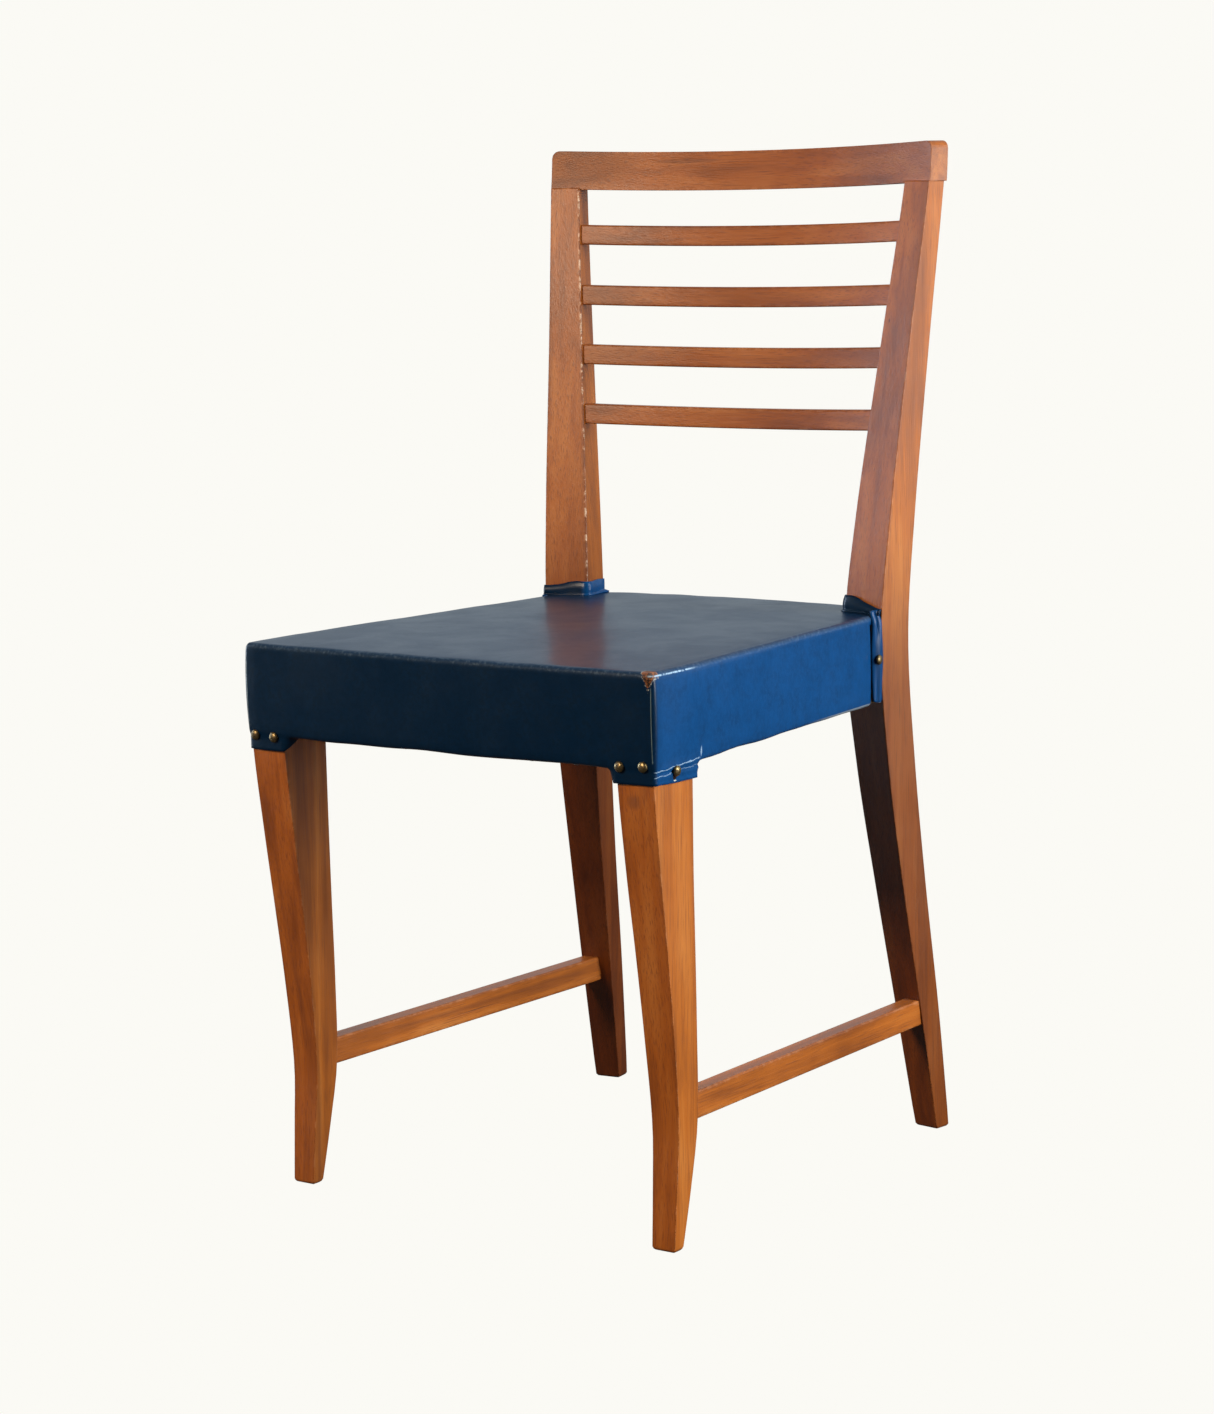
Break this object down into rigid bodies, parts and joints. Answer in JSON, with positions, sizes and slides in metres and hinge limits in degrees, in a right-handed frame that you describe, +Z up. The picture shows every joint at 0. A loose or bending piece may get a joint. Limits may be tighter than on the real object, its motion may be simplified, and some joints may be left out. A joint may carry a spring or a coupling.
{
  "type": "side chair",
  "caption": "Armless wooden dining chair with a slatted, gently curved back, sabre front legs, side stretchers and a firm leather-covered seat fixed with domed nails.",
  "frame": {"origin": "on the floor under the middle of the chair's box", "axes": "+Z up, -Y towards the front of the seat, +X to the sitter's left"},
  "size_m": [0.4142, 0.4814, 0.858],
  "materials": {
    "wood": "polished lacquer over orange-brown hardwood, worn along the arrises",
    "frame_wood": "bare hardwood, planed",
    "plywood": "bare plywood",
    "wadding": "cotton wadding",
    "hide": "glossy dark blue leather, mottled, worn at the corners",
    "brass": "aged, dull domed heads",
    "steel": "plain"
  },
  "bodies": {
    "root": {"front_leg_right": "wood", "front_leg_left": "wood", "rear_post_right": "wood", "rear_post_left": "wood", "crest_rail": "wood", "back_slat_1": "wood", "back_slat_2": "wood", "back_slat_3": "wood", "back_slat_4": "wood", "side_stretcher_right": "wood", "side_stretcher_left": "wood", "crest_dowel_right": "frame_wood", "crest_dowel_left": "frame_wood", "front_rail": "frame_wood", "rear_rail": "frame_wood", "side_rail_right": "frame_wood", "side_rail_left": "frame_wood", "front_corner_block_right": "frame_wood", "front_corner_block_left": "frame_wood", "rear_corner_block_right": "frame_wood", "rear_corner_block_left": "frame_wood", "front_block_screw_right": "steel", "front_block_screw_left": "steel", "rear_block_screw_right": "steel", "rear_block_screw_left": "steel", "seat_board": "plywood", "seat_pad": "wadding", "seat_cover": "hide", "post_cuff_right": "hide", "post_cuff_left": "hide", "leg_nail_front_outer_right": "brass", "leg_nail_front_outer_left": "brass", "leg_nail_front_inner_right": "brass", "leg_nail_front_inner_left": "brass", "leg_nail_side_right": "brass", "leg_nail_side_left": "brass", "cuff_nail_right": "brass", "cuff_nail_left": "brass"}
  },
  "joints": []
}
